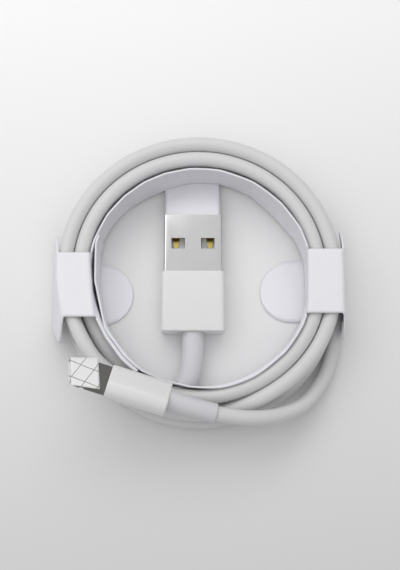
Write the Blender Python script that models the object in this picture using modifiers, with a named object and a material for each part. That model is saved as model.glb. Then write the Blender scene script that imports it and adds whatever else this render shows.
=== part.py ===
"""A charging cable, coiled round a folded card retainer as it leaves its box.

A type-A host plug lies inside the card ring, and a slim reversible tip plug lies on
top of the coil. Lengths are in metres, +Z is up, and the origin is the axis of the
coil on the table. Seen from above, +Y points from the host plug's cable to its mouth.
"""

import math

import bmesh
import bpy
import numpy as np
from mathutils import Matrix, Vector

MM = 0.001
GAP = 0.3 * MM  # between pieces that touch on the real object
FIT = 0.12 * MM  # between a moulded cover and what it holds

# Cable
CABLE_RADIUS = 1.5 * MM
CABLE_DIAMETER = 2 * CABLE_RADIUS
INNER_TURN = 24.55 * MM  # radius of the inner column of turns
COLUMN_STEP = 3.1 * MM  # from the inner column of turns to the outer one
LAYER_STEP = 3.3 * MM
POINTS_PER_TURN = 36
LEAD_SPACING = CABLE_DIAMETER
SMALLEST_GAP = 0.07 * MM
SMALL_TURN = 0.002  # for the direction of the coil's ends
WIRE_RADIUS = 0.3 * MM

# Card retainer
CARD = 0.35 * MM
RING_RADIUS = 22.0 * MM
RING_STEP = math.radians(6)
RING_ROWS = 8
OVERLAP_START = math.radians(170)  # the strip's inner end
OVERLAP_END = math.radians(226)  # where the inner end starts to join the ring
OVERLAP_JOINED = math.radians(256)
STRIP_END = math.radians(598)
OVERLAP_DEPTH = 1.0 * MM
RIM_LEAN = 0.95 * MM  # how far the rim leans out over the turns at the lower right
LEAN_START = math.radians(258)
LEAN_FULL = math.radians(288)
LEAN_FADES = math.radians(345)
LEAN_GONE = math.radians(430)
END_LEAN = 0.8 * MM  # how far the strip's outer end leans out
END_LEAN_START = math.radians(566)
LEAN_POWER = 10  # the lean is all near the rim
STRAP_WIDTH = 12.95 * MM
WING = 4.55 * MM  # how far the outer flap stands past its strap on either side
WING_POWER = 1.3
WING_STEPS = 10
CREASE = 0.15 * MM  # bare fold between two panels, on either side of its axis
LEFT_STRAP_Y = -1.85 * MM
LEFT_TAB_Y = -2.2 * MM
LEFT_TOP_CREASE_X = -28.1 * MM
LEFT_FOOT_CREASE_X = -30.0 * MM
LEFT_TAB_END_X = -13.5 * MM
RIGHT_STRAP_Y = -1.1 * MM
RIGHT_TAB_Y = -1.6 * MM
RIGHT_TOP_CREASE_X = 28.9 * MM
RIGHT_FOOT_CREASE_X = 29.9 * MM
RIGHT_TAB_END_X = 12.75 * MM
TAB_ARC_STEPS = 12
NOTCH_WIDTH = 6.2 * MM  # lets the host plug's cable out under the ring's rim
NOTCH_HEIGHT = 5.6 * MM
NOTCH_X = -2.6 * MM
PLUG_TAB_WIDTH = 11.0 * MM  # the card tongue that fills the host plug's mouth
PLUG_TAB_ROOT = (math.radians(469), math.radians(438.5))  # its ends along the strip
PLUG_TAB_DEPTH = 3.6 * MM
PLUG_TAB_RISE = 3.9 * MM

# The ring's straight folds under the straps: direction from the axis, distance
LEFT_FOLD = (math.radians(184.7), 21.2 * MM)
RIGHT_FOLD = (math.radians(-1), 21.85 * MM)
# Where the turns are pressed in: direction from the axis, depth, power of its falling off
PRESSES = (
    (math.radians(208), 1.5 * MM, 3),
    (math.radians(292), 0.6 * MM, 6),
    (math.radians(0), 0.35 * MM, 12),
)
# Dents in the ring's foot, in the same terms
FOOT_DENTS = (
    (math.radians(113), 0.6 * MM, 24),
    (math.radians(40), 0.8 * MM, 24),
    (math.radians(-5), -0.3 * MM, 12),
)

# Host plug, type-A, in its own frame: +Y out of the mouth, origin in the housing's front face
HOST_X = -1.12 * MM
HOST_FRONT_Y = 1.95 * MM
HOST_WIDTH = 12.9 * MM
HOST_HEIGHT = 6.0 * MM
HOST_LENGTH = 12.35 * MM
HOST_REAR_WALL = 0.8 * MM
HOST_CORNER = 1.0 * MM  # of the edges along the plug
HOST_EDGE = 0.35 * MM
SHELL_WIDTH = 12.0 * MM
SHELL_HEIGHT = 4.5 * MM
SHELL_SHEET = 0.3 * MM
SHELL_OUT = 11.8 * MM
SHELL_IN = 5.0 * MM
SHELL_CORNER = 0.55 * MM
WINDOW_X = 3.04 * MM
WINDOW_WIDTH = 2.8 * MM
WINDOW_LENGTH = 2.24 * MM
WINDOW_BACK = 4.86 * MM  # from the mouth to the window
TONGUE_HEIGHT = 1.84 * MM
TONGUE_RECESS = 0.5 * MM
TONGUE_BASE = 3.5 * MM  # how far the tongue's full-height base stands out of the housing
CONTACT_X = (-3.5 * MM, -1.0 * MM, 1.0 * MM, 3.5 * MM)
CONTACT_WIDTH = 1.5 * MM
CONTACT_TAIL_WIDTH = 1.0 * MM
CONTACT_SHEET = 0.2 * MM
CONTACT_BACK = 0.7 * MM  # from the mouth to the contact's front end
CONTACT_TAPER = 4.9 * MM
CONTACT_LENGTHS = (5.9 * MM, 5.2 * MM, 5.2 * MM, 5.9 * MM)
HOST_RELIEF_RADIUS = 2.2 * MM
RELIEF_BORE = 1.75 * MM
FERRULE_SHEET = 0.15 * MM
FERRULE_LENGTH = 1.3 * MM
TROUGH_WIDTH = 5.0 * MM

# Tip plug in its own frame: +X out of the blade's end, origin in the housing's front face
TIP_PLACE = Vector((-17.19, -21.47, 15.0)) * MM
TIP_HEADING = math.radians(162.9)
TIP_PITCH = math.radians(6)  # the blade's end is up
TIP_ROLL = math.radians(42)
TIP_LENGTH = 12.0 * MM
TIP_WIDTH = 7.5 * MM
TIP_HEIGHT = 4.5 * MM
TIP_WALL = 0.5 * MM
TIP_EDGE = 0.3 * MM
BLADE_WIDTH = 6.7 * MM
BLADE_SHEET = 1.5 * MM
BLADE_OUT = 6.9 * MM
BLADE_IN = 2.4 * MM
BLADE_CORNER = 1.6 * MM
DETENT_X = 4.4 * MM
DETENT_RADIUS = 0.55 * MM
DETENT_DEPTH = 0.3 * MM
FIELD_WIDTH = 5.2 * MM  # the window in the blade that holds its contacts
FIELD_LENGTH = 3.6 * MM
FIELD_X = 4.2 * MM
INSULATOR_SHEET = 1.0 * MM
TIP_CONTACTS = 8
TIP_CONTACT_PITCH = 0.6 * MM
TIP_CONTACT_WIDTH = 0.36 * MM
TIP_CONTACT_LENGTH = 3.0 * MM
TIP_CONTACT_SHEET = 0.15 * MM
BOARD_LENGTH = 4.6 * MM
BOARD_WIDTH = 5.0 * MM
BOARD_SHEET = 0.8 * MM
CHIP_SIZE = (2.4 * MM, 2.9 * MM, 0.6 * MM)
TIP_RELIEF_RADIUS = 1.95 * MM
FILM = 0.15 * MM
FILM_BACK_X = 2.3 * MM
FILM_FRONT_X = 7.75 * MM
FILM_SKEW = 2.2 * MM  # how much the film's ends lean across the blade
FILM_OVERHANG_BACK = 1.1 * MM
FILM_OVERHANG_FRONT = -0.35 * MM  # past the blade's end the fold comes in
FILM_SHORT = 0.8 * MM  # bare blade along the film's open side, at its back end

# Worked-out heights and radii
LEVEL_1 = CARD + GAP + CABLE_RADIUS
LEVEL_2 = LEVEL_1 + LAYER_STEP
LEVEL_3 = LEVEL_2 + LAYER_STEP
COIL_TOP = LEVEL_3 + CABLE_RADIUS
OUTER_TURN = INNER_TURN + COLUMN_STEP
ENTRY_TURN = INNER_TURN + 0.6 * MM  # where the cable comes in under the ring
SWUNG_TURN = OUTER_TURN + 1.2 * MM  # the lowest turn makes room for the incoming cable
STRAP_Z = COIL_TOP + GAP + CARD / 2
RING_FOOT = CARD + GAP
RING_TOP = STRAP_Z
HOST_AXIS_Z = HOST_HEIGHT / 2
HOST_REAR_Y = HOST_FRONT_Y - HOST_LENGTH

# How the cable winds, in turns clockwise from six o'clock: from, to, new radius, new height
COIL_START = 0.14
COIL_END = 4.72
MOVES = (
    (0.14, 0.30, INNER_TURN, LEVEL_1),
    (0.60, 0.90, INNER_TURN, LEVEL_2),
    (1.14, 1.26, INNER_TURN, LEVEL_3),
    (2.03, 2.15, OUTER_TURN, LEVEL_3),
    (2.90, 3.02, OUTER_TURN, LEVEL_2),
    (3.80, 3.91, SWUNG_TURN, LEVEL_1),
    (4.10, 4.30, OUTER_TURN, LEVEL_1),
)

# Routes of the cable's free stretches, in millimetres, where they are not coiled
HOST_ROUTE = (
    (-1.12, -7.4, 3.0),
    (-1.12, -12.2, 3.0),
    (-1.2, -14.8, 2.95),
    (-1.5, -17.6, 2.75),
    (-2.25, -20.25, 2.45),
    (-4.3, -22.6, 2.2),
    (-7.3, -23.6, 2.15),
    (-10.15, -22.5, 2.15),
    (-13.8, -20.1, 2.15),
)
DEVICE_ROUTE = (
    (27.75, -3.6, 2.15),
    (27.8, -8.6, 2.15),
    (27.5, -12.9, 2.15),
    (26.3, -17.3, 2.25),
    (24.85, -20.3, 2.8),
    (21.05, -24.9, 4.8),
    (15.55, -27.5, 8.0),
    (9.8, -28.2, 10.9),
    (3.44, -27.5, 12.5),
    (-1.1, -26.4, 13.25),
)
HOST_RELIEF_END = 4  # the point of each route at which its strain relief ends
DEVICE_RELIEF_END = 8

# Finishes: colour, roughness, metallic
WHITE_PLASTIC = ((0.83, 0.83, 0.83), 0.35, 0.0)
GREY_RUBBER = ((0.62, 0.62, 0.63), 0.55, 0.0)
WHITE_CARD = ((0.76, 0.75, 0.80), 0.75, 0.0)
WHITE_FILM = ((0.85, 0.85, 0.86), 0.4, 0.0)
STEEL = ((0.70, 0.70, 0.71), 0.28, 1.0)
DARK_STEEL = ((0.14, 0.14, 0.13), 0.35, 1.0)
GOLD = ((0.80, 0.60, 0.24), 0.25, 1.0)
TIN = ((0.62, 0.62, 0.60), 0.4, 1.0)
NATURAL_PLASTIC = ((0.80, 0.79, 0.75), 0.5, 0.0)
GREEN_BOARD = ((0.05, 0.22, 0.09), 0.5, 0.0)
BLACK_CHIP = ((0.03, 0.03, 0.03), 0.5, 0.0)
WIRES = (
    ("red", (0.55, 0.04, 0.03)),
    ("white", (0.80, 0.80, 0.78)),
    ("green", (0.05, 0.35, 0.10)),
    ("black", (0.03, 0.03, 0.03)),
)


def new_collection(name):
    collection = bpy.data.collections.new(name)
    bpy.context.scene.collection.children.link(collection)
    return collection


def material(name, finish):
    colour, roughness, metallic = finish
    made = bpy.data.materials.new(name)
    made.use_nodes = True
    shader = made.node_tree.nodes["Principled BSDF"]
    shader.inputs["Base Color"].default_value = (*colour, 1.0)
    shader.inputs["Roughness"].default_value = roughness
    shader.inputs["Metallic"].default_value = metallic
    return made


def add_part(name, data, finish, frame=None):
    part = bpy.data.objects.new(name, data)
    PARTS.objects.link(part)
    part.parent = frame
    data.materials.append(material(name, finish))
    return part


def add_cutter(name, data, frame=None):
    cutter = bpy.data.objects.new(name, data)
    CUTTERS.objects.link(cutter)
    cutter.parent = frame
    cutter.hide_render = True
    cutter.display_type = "WIRE"
    return cutter


def add_frame(name, place, turn=None):
    frame = bpy.data.objects.new(name, None)
    PARTS.objects.link(frame)
    frame.matrix_world = Matrix.Translation(place) @ (turn or Matrix())
    return frame


def combine(part, cutter, operation="DIFFERENCE"):
    modifier = part.modifiers.new(cutter.name, "BOOLEAN")
    modifier.operation = operation
    modifier.object = cutter


def round_edges(part, width, segments=2, angle=math.radians(50)):
    modifier = part.modifiers.new("rounded edges", "BEVEL")
    modifier.width = width
    modifier.segments = segments
    modifier.limit_method = "ANGLE"
    modifier.angle_limit = angle


def smooth(part, angle=math.radians(40)):
    part.data.shade_smooth()
    part.data.set_sharp_from_angle(angle=angle)


def box(low, high):
    """A box between two corners."""
    low, high = Vector(low), Vector(high)
    mesh = bpy.data.meshes.new("box")
    shape = bmesh.new()
    bmesh.ops.create_cube(shape, size=1.0)
    bmesh.ops.scale(shape, vec=high - low, verts=shape.verts)
    bmesh.ops.translate(shape, vec=(low + high) / 2, verts=shape.verts)
    shape.to_mesh(mesh)
    shape.free()
    return mesh


def rounded_rectangle(width, height, radius, steps=4):
    """The outline of a rectangle about the origin, with round corners."""
    points = []
    for corner, (side_x, side_y) in enumerate(((1, 1), (-1, 1), (-1, -1), (1, -1))):
        for step in range(steps + 1):
            angle = math.pi / 2 * (corner + step / steps)
            x = side_x * (width / 2 - radius) + radius * math.cos(angle)
            y = side_y * (height / 2 - radius) + radius * math.sin(angle)
            points.append((x, y))
    return points


def circle(radius, sides=16):
    turn = 2 * math.pi / sides
    return [(radius * math.cos(turn * i), radius * math.sin(turn * i)) for i in range(sides)]


def mesh_of_curve(curve):
    """The closed mesh of a curve, with its caps welded to its sides."""
    holder = bpy.data.objects.new("curve", curve)
    bpy.context.scene.collection.objects.link(holder)
    graph = bpy.context.evaluated_depsgraph_get()
    mesh = bpy.data.meshes.new_from_object(holder.evaluated_get(graph))
    bpy.data.objects.remove(holder)
    shape = bmesh.new()
    shape.from_mesh(mesh)
    bmesh.ops.remove_doubles(shape, verts=shape.verts, dist=1e-7)
    bmesh.ops.recalc_face_normals(shape, faces=shape.faces)
    shape.to_mesh(mesh)
    shape.free()
    return mesh


def prism(outlines, start, end, along):
    """Flat outlines, the later ones holes in the first, drawn out from start to end along X, Y or Z."""
    curve = bpy.data.curves.new("outline", "CURVE")
    curve.dimensions = "2D"
    curve.fill_mode = "BOTH"
    curve.extrude = abs(end - start) / 2
    for outline in outlines:
        spline = curve.splines.new("POLY")
        spline.points.add(len(outline) - 1)
        spline.use_cyclic_u = True
        for point, (x, y) in zip(spline.points, outline):
            point.co = (x, y, 0.0, 1.0)
    mesh = mesh_of_curve(curve)
    turns = {
        "X": Matrix(((0, 0, 1), (1, 0, 0), (0, 1, 0))),
        "Y": Matrix(((1, 0, 0), (0, 0, -1), (0, 1, 0))),
        "Z": Matrix.Identity(3),
    }
    mesh.transform(turns[along].to_4x4())
    shift = Vector((0.0, 0.0, 0.0))
    shift["XYZ".index(along)] = (start + end) / 2
    mesh.transform(Matrix.Translation(shift))
    return mesh


def sheet(columns, rows, place):
    """A grid whose points are put at place(u, v), with u and v from 0 to 1."""
    mesh = bpy.data.meshes.new("sheet")
    shape = bmesh.new()
    bmesh.ops.create_grid(shape, x_segments=columns, y_segments=rows, size=0.5)
    for vertex in shape.verts:
        vertex.co = place(vertex.co.x + 0.5, vertex.co.y + 0.5)
    shape.to_mesh(mesh)
    shape.free()
    return mesh


def thicken(part, thickness, offset=0.0):
    modifier = part.modifiers.new("sheet thickness", "SOLIDIFY")
    modifier.thickness = thickness
    modifier.offset = offset
    modifier.use_even_offset = True


def tube_curve(points, radius, sides_setting, caps=True):
    curve = bpy.data.curves.new("tube", "CURVE")
    curve.dimensions = "3D"
    curve.bevel_depth = radius
    curve.bevel_resolution = sides_setting
    curve.use_fill_caps = caps
    spline = curve.splines.new("POLY")
    spline.points.add(len(points) - 1)
    for point, place in zip(spline.points, points):
        point.co = (*place, 1.0)
    spline.use_smooth = True
    return curve


def ease(amount):
    amount = min(max(amount, 0.0), 1.0)
    return amount * amount * (3 - 2 * amount)


def pressed_in(angle, places):
    """The depth at this angle of a row of soft dents."""
    return sum(depth * max(0.0, math.cos(angle - middle)) ** power for middle, depth, power in places)


def around(angle, radius, height):
    return Vector((radius * math.cos(angle), radius * math.sin(angle), height))


def coil_point(turn):
    """The middle of the cable after this many turns from six o'clock."""
    radius, height = ENTRY_TURN, LEVEL_1
    for start, end, new_radius, new_height in MOVES:
        done = ease((turn - start) / (end - start))
        radius += (new_radius - radius) * done
        height += (new_height - height) * done
    angle = -math.pi / 2 - 2 * math.pi * turn
    return around(angle, radius - pressed_in(angle, PRESSES), height)


def coil_points():
    """Points along the coil, with a straight run at either end."""
    count = round((COIL_END - COIL_START) * POINTS_PER_TURN)
    turns = [COIL_START + (COIL_END - COIL_START) * i / count for i in range(count + 1)]
    points = [coil_point(turn) for turn in turns]
    before = points[0] - coil_point(COIL_START + SMALL_TURN)
    after = points[-1] - coil_point(COIL_END - SMALL_TURN)
    first = points[0] + before.normalized() * CABLE_DIAMETER
    last = points[-1] + after.normalized() * CABLE_DIAMETER
    return [first, *points, last]


def smooth_points(route, spacing):
    """Evenly spaced points on a smooth curve through the route."""
    knots = np.array([tuple(point) for point in route])
    knots = np.vstack((2 * knots[0] - knots[1], knots, 2 * knots[-1] - knots[-2]))
    fine = []
    for before, first, second, after in zip(knots, knots[1:], knots[2:], knots[3:]):
        for t in np.linspace(0, 1, 40, endpoint=False):
            straight = 2 * first + (second - before) * t
            bend = (2 * before - 5 * first + 4 * second - after) * t**2
            twist = (3 * first - before - 3 * second + after) * t**3
            fine.append((straight + bend + twist) / 2)
    fine = np.array(fine + [knots[-2]])
    length = np.concatenate(([0], np.cumsum(np.linalg.norm(np.diff(fine, axis=0), axis=1))))
    count = max(2, round(length[-1] / spacing) + 1)
    at = np.linspace(0, length[-1], count)
    return [Vector([np.interp(d, length, fine[:, axis]) for axis in range(3)]) for d in at]


def in_metres(route):
    return [Vector(point) * MM for point in route]


def lead_points():
    """The two free stretches, each meeting its end of the coil face to face."""
    coil = coil_points()
    first = (coil[0] - coil[1]).normalized()
    last = (coil[-1] - coil[-2]).normalized()
    straight = (GAP, GAP + CABLE_RADIUS)
    host = in_metres(HOST_ROUTE) + [coil[0] + first * run for run in reversed(straight)]
    rear = tip_matrix() @ Vector((-TIP_LENGTH, 0, 0))
    inside = tip_matrix() @ Vector((-TIP_LENGTH + 2.0 * MM, 0, 0))
    device = [coil[-1] + last * run for run in straight] + in_metres(DEVICE_ROUTE) + [rear, inside]
    return smooth_points(host, LEAD_SPACING), smooth_points(device, LEAD_SPACING)


def print_cable_sizes():
    """Prints the cable's length and its least gap to itself, measured on points along it."""
    host, device = lead_points()
    path = smooth_points(host + coil_points() + device, 1 * MM)
    points = np.array([tuple(point) for point in path])
    length = np.concatenate(([0], np.cumsum(np.linalg.norm(np.diff(points, axis=0), axis=1))))
    apart = np.linalg.norm(points[:, None] - points[None], axis=2)
    near = np.abs(length[:, None] - length[None]) < 4 * CABLE_DIAMETER
    least = apart[~near].min() - CABLE_DIAMETER
    print(f"cable length {length[-1] * 1000:.0f} mm, least gap to itself {least * 1000:.2f} mm")
    if least < SMALLEST_GAP:
        raise ValueError("the cable's turns come too close to each other")


def make_cable():
    host, device = lead_points()
    stretches = (
        ("cable_host_lead", host, 2),
        ("cable_coil", coil_points(), 1),
        ("cable_device_lead", device, 2),
    )
    for name, points, sides_setting in stretches:
        add_part(name, tube_curve(points, CABLE_RADIUS, sides_setting), GREY_RUBBER)


def make_strain_relief(name, points, radius):
    """A soft sleeve round the cable, open at both ends."""
    mesh = mesh_of_curve(tube_curve(points, radius, 4, caps=False))
    relief = add_part(name, mesh, WHITE_PLASTIC)
    thicken(relief, radius - RELIEF_BORE, offset=-1.0)
    smooth(relief)


def make_strain_reliefs():
    host_route = in_metres(HOST_ROUTE[: HOST_RELIEF_END + 1])
    host_route[0].y = HOST_REAR_Y + HOST_REAR_WALL / 2
    make_strain_relief("host_strain_relief", smooth_points(host_route, 1.2 * MM), HOST_RELIEF_RADIUS)
    rear = tip_matrix() @ Vector((-TIP_LENGTH + TIP_WALL / 2, 0, 0))
    tip_route = in_metres(DEVICE_ROUTE[DEVICE_RELIEF_END:]) + [rear]
    make_strain_relief("tip_strain_relief", smooth_points(tip_route, 1.2 * MM), TIP_RELIEF_RADIUS)


def overlap_depth(angle):
    """The strip runs once round and a fifth, its first end inside its last."""
    joined = ease((angle - OVERLAP_END) / (OVERLAP_JOINED - OVERLAP_END))
    return OVERLAP_DEPTH * (1 - joined)


def rim_radius(angle):
    """The rim, round but for the straight folds under the straps and where it leans out over the turns."""
    depth = overlap_depth(angle)
    rises = ease((angle - LEAN_START) / (LEAN_FULL - LEAN_START))
    falls = ease((angle - LEAN_FADES) / (LEAN_GONE - LEAN_FADES))
    loose = ease((angle - END_LEAN_START) / (STRIP_END - END_LEAN_START))
    radius = RING_RADIUS - depth + RIM_LEAN * rises * (1 - falls) + END_LEAN * loose
    for middle, distance in (LEFT_FOLD, RIGHT_FOLD):
        facing = math.cos(angle - middle)
        if facing > 0.9:
            radius = min(radius, (distance - depth) / facing)
    return radius


def wall_point(angle, up):
    """A point of the ring's wall, which stands inside the turns up to its rim."""
    rim = rim_radius(angle)
    turns = INNER_TURN - pressed_in(angle, PRESSES) - CABLE_RADIUS
    room = turns - GAP - CARD / 2 - overlap_depth(angle)
    upright = min(rim, room)
    radius = upright - pressed_in(angle, FOOT_DENTS) * (1 - up) + (rim - upright) * up**LEAN_POWER
    return around(angle, radius, RING_FOOT + (RING_TOP - RING_FOOT) * up)


def make_card_ring():
    def wall(along, up):
        return wall_point(OVERLAP_START + (STRIP_END - OVERLAP_START) * along, up)

    steps = round((STRIP_END - OVERLAP_START) / RING_STEP)
    ring = add_part("card_ring", sheet(steps, RING_ROWS, wall), WHITE_CARD)
    thicken(ring, CARD)
    smooth(ring)
    combine(ring, strap_panel("left_strap", LEFT_FOLD, LEFT_TOP_CREASE_X, LEFT_STRAP_Y), "UNION")
    combine(ring, strap_panel("right_strap", RIGHT_FOLD, RIGHT_TOP_CREASE_X, RIGHT_STRAP_Y), "UNION")
    combine(ring, plug_tab(), "UNION")
    combine(ring, cable_notch())


def strap_panel(name, fold, crease_x, middle_y):
    """The part of a strap that lies on the coil, from the ring's fold to its outer crease."""
    facing, distance = fold
    edge = crease_x - math.copysign(CREASE, crease_x)
    ends = (middle_y - STRAP_WIDTH / 2, middle_y + STRAP_WIDTH / 2)
    inner = [((distance - CARD - y * math.sin(facing)) / math.cos(facing), y) for y in ends]
    outline = [*inner, *((edge, y) for y in reversed(ends))]
    return add_cutter(name, prism([outline], STRAP_Z - CARD / 2, STRAP_Z + CARD / 2, "Z"))


def plug_tab():
    """The card tongue folded in from the ring's foot, up and into the host plug's mouth."""
    end_y = HOST_FRONT_Y + SHELL_OUT - PLUG_TAB_DEPTH
    first, last = PLUG_TAB_ROOT

    def tongue(along, across):
        root = wall_point(first + (last - first) * across, CARD / RING_TOP)
        end = Vector((HOST_X + PLUG_TAB_WIDTH * (across - 0.5), end_y, root.z))
        point = root.lerp(end, along)
        point.z += (PLUG_TAB_RISE - root.z) * math.sin(math.pi / 2 * min(1.0, along / 0.75))
        return point

    cutter = add_cutter("plug_tab", sheet(10, 4, tongue))
    thicken(cutter, CARD)
    return cutter


def cable_notch():
    arch = [(NOTCH_WIDTH / 2 * math.cos(a), NOTCH_WIDTH / 2 * math.sin(a)) for a in np.linspace(0, math.pi, 9)]
    spring = NOTCH_HEIGHT - NOTCH_WIDTH / 2
    outline = [(NOTCH_X + x, spring + y) for x, y in arch]
    outline += [(NOTCH_X - NOTCH_WIDTH / 2, -GAP), (NOTCH_X + NOTCH_WIDTH / 2, -GAP)]
    return add_cutter("cable_notch", prism([outline], -RING_RADIUS - 2 * MM, -RING_RADIUS + 4 * MM, "Y"))


def flap_outline(length):
    """A flap as wide as its strap at both creases, with a rounded wing on either side."""
    start, end = CREASE, length - CREASE
    right = []
    for step in range(WING_STEPS + 1):
        share = step / WING_STEPS
        wing = WING * math.sin(math.pi * share) ** WING_POWER if 0 < step < WING_STEPS else 0.0
        right.append((STRAP_WIDTH / 2 + wing, -start - (end - start) * share))
    return right + [(-x, y) for x, y in reversed(right)]


def make_outer_flap(name, top_x, foot_x, middle_y):
    """The outer flap of a strap, hinged on the crease at the top of the coil."""
    lean = foot_x - top_x
    drop = STRAP_Z - CARD / 2
    length = math.hypot(lean, drop)
    mesh = prism([flap_outline(length)], -CARD / 2, CARD / 2, "X")
    turn = Matrix.Rotation(-math.atan2(lean, drop), 4, "Y")
    hinge = add_frame(f"{name}_hinge", (top_x, middle_y, STRAP_Z), turn)
    return add_part(name, mesh, WHITE_CARD, hinge)


def make_floor_tab(name, crease_x, end_x, middle_y, end_y):
    """The end of a strap, folded in under the coil, with a round end inside the ring."""
    side = math.copysign(1, end_x - crease_x)
    radius = STRAP_WIDTH / 2
    straight = abs(end_x - crease_x) - radius
    angles = [math.pi * (step / TAB_ARC_STEPS - 0.5) for step in range(TAB_ARC_STEPS + 1)]
    shift = end_y - middle_y
    outline = [(straight + radius * math.cos(a), shift + radius * math.sin(a)) for a in angles]
    outline += [(2 * CREASE, radius), (2 * CREASE, -radius)]
    outline = [(side * x, y) for x, y in outline]
    mesh = prism([outline], -CARD / 2, CARD / 2, "Z")
    hinge = add_frame(f"{name}_hinge", (crease_x, middle_y, CARD / 2))
    return add_part(name, mesh, WHITE_CARD, hinge)


def make_card():
    make_card_ring()
    make_outer_flap("left_outer_flap", LEFT_TOP_CREASE_X, LEFT_FOOT_CREASE_X, LEFT_STRAP_Y)
    make_outer_flap("right_outer_flap", RIGHT_TOP_CREASE_X, RIGHT_FOOT_CREASE_X, RIGHT_STRAP_Y)
    make_floor_tab("left_floor_tab", LEFT_FOOT_CREASE_X, LEFT_TAB_END_X, LEFT_STRAP_Y, LEFT_TAB_Y)
    make_floor_tab("right_floor_tab", RIGHT_FOOT_CREASE_X, RIGHT_TAB_END_X, RIGHT_STRAP_Y, RIGHT_TAB_Y)


def make_host_housing(frame):
    outer = rounded_rectangle(HOST_WIDTH, HOST_HEIGHT, HOST_CORNER)
    housing = add_part("host_housing", prism([outer], -HOST_LENGTH, 0, "Y"), WHITE_PLASTIC, frame)
    round_edges(housing, HOST_EDGE)
    opening = rounded_rectangle(SHELL_WIDTH + 2 * FIT, SHELL_HEIGHT + 2 * FIT, SHELL_CORNER + FIT)
    cavity = prism([opening], HOST_REAR_WALL - HOST_LENGTH, MM, "Y")
    combine(housing, add_cutter("host_cavity", cavity, frame))
    hole = prism([circle(HOST_RELIEF_RADIUS + FIT, 24)], -HOST_LENGTH - MM, MM - HOST_LENGTH, "Y")
    combine(housing, add_cutter("host_cable_hole", hole, frame))
    smooth(housing)


def make_host_shell(frame):
    outer = rounded_rectangle(SHELL_WIDTH, SHELL_HEIGHT, SHELL_CORNER)
    inner_corner = SHELL_CORNER - SHELL_SHEET
    inner = rounded_rectangle(SHELL_WIDTH - 2 * SHELL_SHEET, SHELL_HEIGHT - 2 * SHELL_SHEET, inner_corner)
    shell = add_part("host_shell", prism([outer, inner], -SHELL_IN, SHELL_OUT, "Y"), STEEL, frame)
    for side, x in (("left", -WINDOW_X), ("right", WINDOW_X)):
        front = SHELL_OUT - WINDOW_BACK
        low = (x - WINDOW_WIDTH / 2, front - WINDOW_LENGTH, -SHELL_HEIGHT)
        high = (x + WINDOW_WIDTH / 2, front, SHELL_HEIGHT)
        combine(shell, add_cutter(f"{side}_window", box(low, high), frame))
    smooth(shell)


def tongue_heights():
    floor = -SHELL_HEIGHT / 2 + SHELL_SHEET + FIT
    return floor, floor + TONGUE_HEIGHT


def make_host_tongue(frame):
    """The plastic tongue with its grooves, on a base that fills the shell."""
    floor, top = tongue_heights()
    half = SHELL_WIDTH / 2 - SHELL_SHEET - FIT
    tip = (half, SHELL_OUT - TONGUE_RECESS, top)
    tongue = add_part("host_tongue", box((-half, -SHELL_IN, floor), tip), NATURAL_PLASTIC, frame)
    base = box((-half, -SHELL_IN, top - FIT), (half, TONGUE_BASE, -floor))
    combine(tongue, add_cutter("tongue_base", base, frame), "UNION")
    for number, x in enumerate(CONTACT_X, 1):
        half_groove = CONTACT_WIDTH / 2 + FIT
        low = (x - half_groove, TONGUE_BASE + FIT, top - CONTACT_SHEET)
        high = (x + half_groove, SHELL_OUT - CONTACT_BACK + FIT, top + MM)
        combine(tongue, add_cutter(f"contact_groove_{number}", box(low, high), frame))


def make_host_contacts(frame):
    """Four flat contacts, wide at the mouth and narrow with a round end behind the windows."""
    top = tongue_heights()[1]
    front = SHELL_OUT - CONTACT_BACK
    for number, (x, length) in enumerate(zip(CONTACT_X, CONTACT_LENGTHS), 1):
        tail = CONTACT_TAIL_WIDTH / 2
        angles = [math.pi + math.pi * step / 6 for step in range(7)]
        outline = [(x + CONTACT_WIDTH / 2, front), (x - CONTACT_WIDTH / 2, front)]
        outline.append((x - CONTACT_WIDTH / 2, front - CONTACT_TAPER + 2 * tail))
        outline += [(x + tail * math.cos(a), front - length + tail + tail * math.sin(a)) for a in angles]
        outline.append((x + CONTACT_WIDTH / 2, front - CONTACT_TAPER + 2 * tail))
        low = top - CONTACT_SHEET + FIT
        mesh = prism([outline], low, low + CONTACT_SHEET, "Z")
        add_part(f"host_contact_{number}", mesh, GOLD, frame)


def make_ferrule(name, middle, along, frame, place=Vector()):
    rings = [circle(CABLE_RADIUS + FIT / 2 + FERRULE_SHEET, 24), circle(CABLE_RADIUS + FIT / 2, 24)]
    mesh = prism(rings, middle - FERRULE_LENGTH / 2, middle + FERRULE_LENGTH / 2, along)
    mesh.transform(Matrix.Translation(place))
    smooth(add_part(name, mesh, TIN, frame))


def make_wires(prefix, starts, ends, frame):
    """Four insulated conductors from the contacts' tails to the cable's stripped end."""
    for (colour_name, colour), start, end in zip(WIRES, starts, ends):
        middle = (Vector(start) + Vector(end)) / 2
        route = [Vector(start), Vector((middle.x, middle.y, start[2])), Vector(end)]
        curve = tube_curve(route, WIRE_RADIUS, 1)
        add_part(f"{prefix}_{colour_name}_wire", curve, (colour, 0.45, 0.0), frame)


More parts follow.
